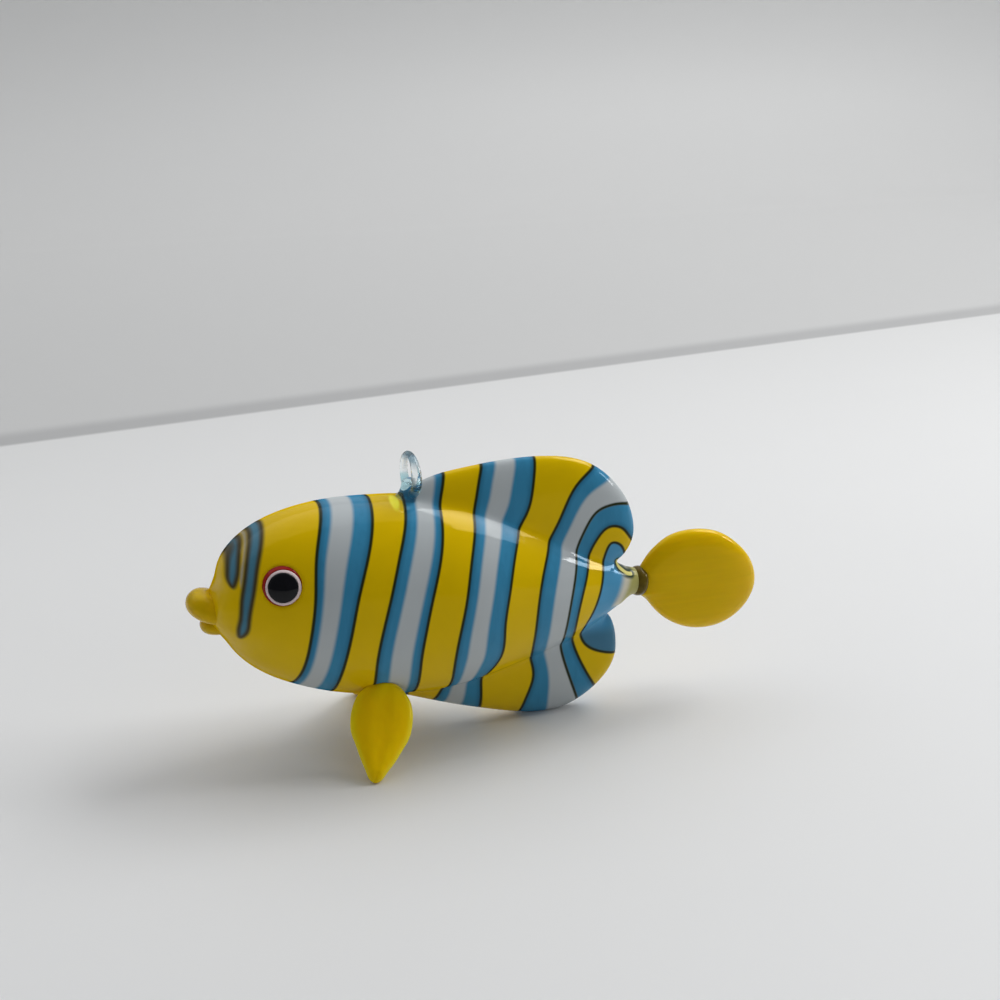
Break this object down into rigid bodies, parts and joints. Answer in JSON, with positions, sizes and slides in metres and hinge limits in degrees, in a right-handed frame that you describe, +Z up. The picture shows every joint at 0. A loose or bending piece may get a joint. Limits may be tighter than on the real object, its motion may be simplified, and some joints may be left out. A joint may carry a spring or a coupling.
{
  "type": "fish figurine",
  "caption": "Blown glass fish ornament with striped glass trails, eyes, lips, pinched lobes, belly fins that it stands on, a paddle tail and a clear loop to hang it by.",
  "frame": {"origin": "on the ground under the middle of the fish's length, in its plane of symmetry", "axes": "+X towards the tail, +Y towards the fish's right side, +Z up. The fish's own axis is tipped nose up by 7 degrees."},
  "size_m": [0.1128, 0.0369, 0.0566],
  "materials": {
    "yellow_glass": "opaque yellow glass, fire polished",
    "blue_glass": "opaque turquoise blue glass, fire polished",
    "white_glass": "opaque white glass, fire polished",
    "dark_glass": "very dark green glass, fire polished",
    "smoky_blue_glass": "smoky blue glass, fire polished",
    "stalk_blue_glass": "grey blue glass, fire polished",
    "red_glass": "opaque red glass, fire polished",
    "black_glass": "black glass, fire polished",
    "amber_glass": "translucent amber yellow glass, fire polished",
    "olive_glass": "dark olive glass, fire polished",
    "clear_glass": "clear glass, fire polished"
  },
  "bodies": {
    "root": {"body_shell": "yellow_glass", "band_1_dark_front": "dark_glass", "band_1_blue_front": "blue_glass", "band_1_white": "white_glass", "band_1_blue_rear": "blue_glass", "band_1_dark_rear": "dark_glass", "band_2_dark_front": "dark_glass", "band_2_blue_front": "blue_glass", "band_2_white": "white_glass", "band_2_blue_rear": "blue_glass", "band_2_dark_rear": "dark_glass", "band_3_dark_front": "dark_glass", "band_3_blue_front": "blue_glass", "band_3_white": "white_glass", "band_3_blue_rear": "blue_glass", "band_3_dark_rear": "dark_glass", "band_4_dark_front": "dark_glass", "band_4_blue_front": "blue_glass", "band_4_white": "white_glass", "band_4_dark_middle": "dark_glass", "band_4_blue_rear": "blue_glass", "band_4_dark_rear": "dark_glass", "stalk_dark": "dark_glass", "stalk_blue": "stalk_blue_glass", "brow_drop_short_edge": "dark_glass", "brow_drop_short_blue": "smoky_blue_glass", "brow_drop_long_edge": "dark_glass", "brow_drop_long_blue": "smoky_blue_glass", "brow_white": "white_glass", "left_eye_red": "red_glass", "left_eye_white": "white_glass", "left_eye_pupil": "black_glass", "right_eye_red": "red_glass", "right_eye_white": "white_glass", "right_eye_pupil": "black_glass", "upper_lip": "amber_glass", "lower_lip": "amber_glass", "hanging_loop": "clear_glass", "tail_collar": "olive_glass", "tail_fin": "yellow_glass", "stalk_bead": "clear_glass", "left_belly_fin": "yellow_glass", "right_belly_fin": "yellow_glass"}
  },
  "joints": []
}
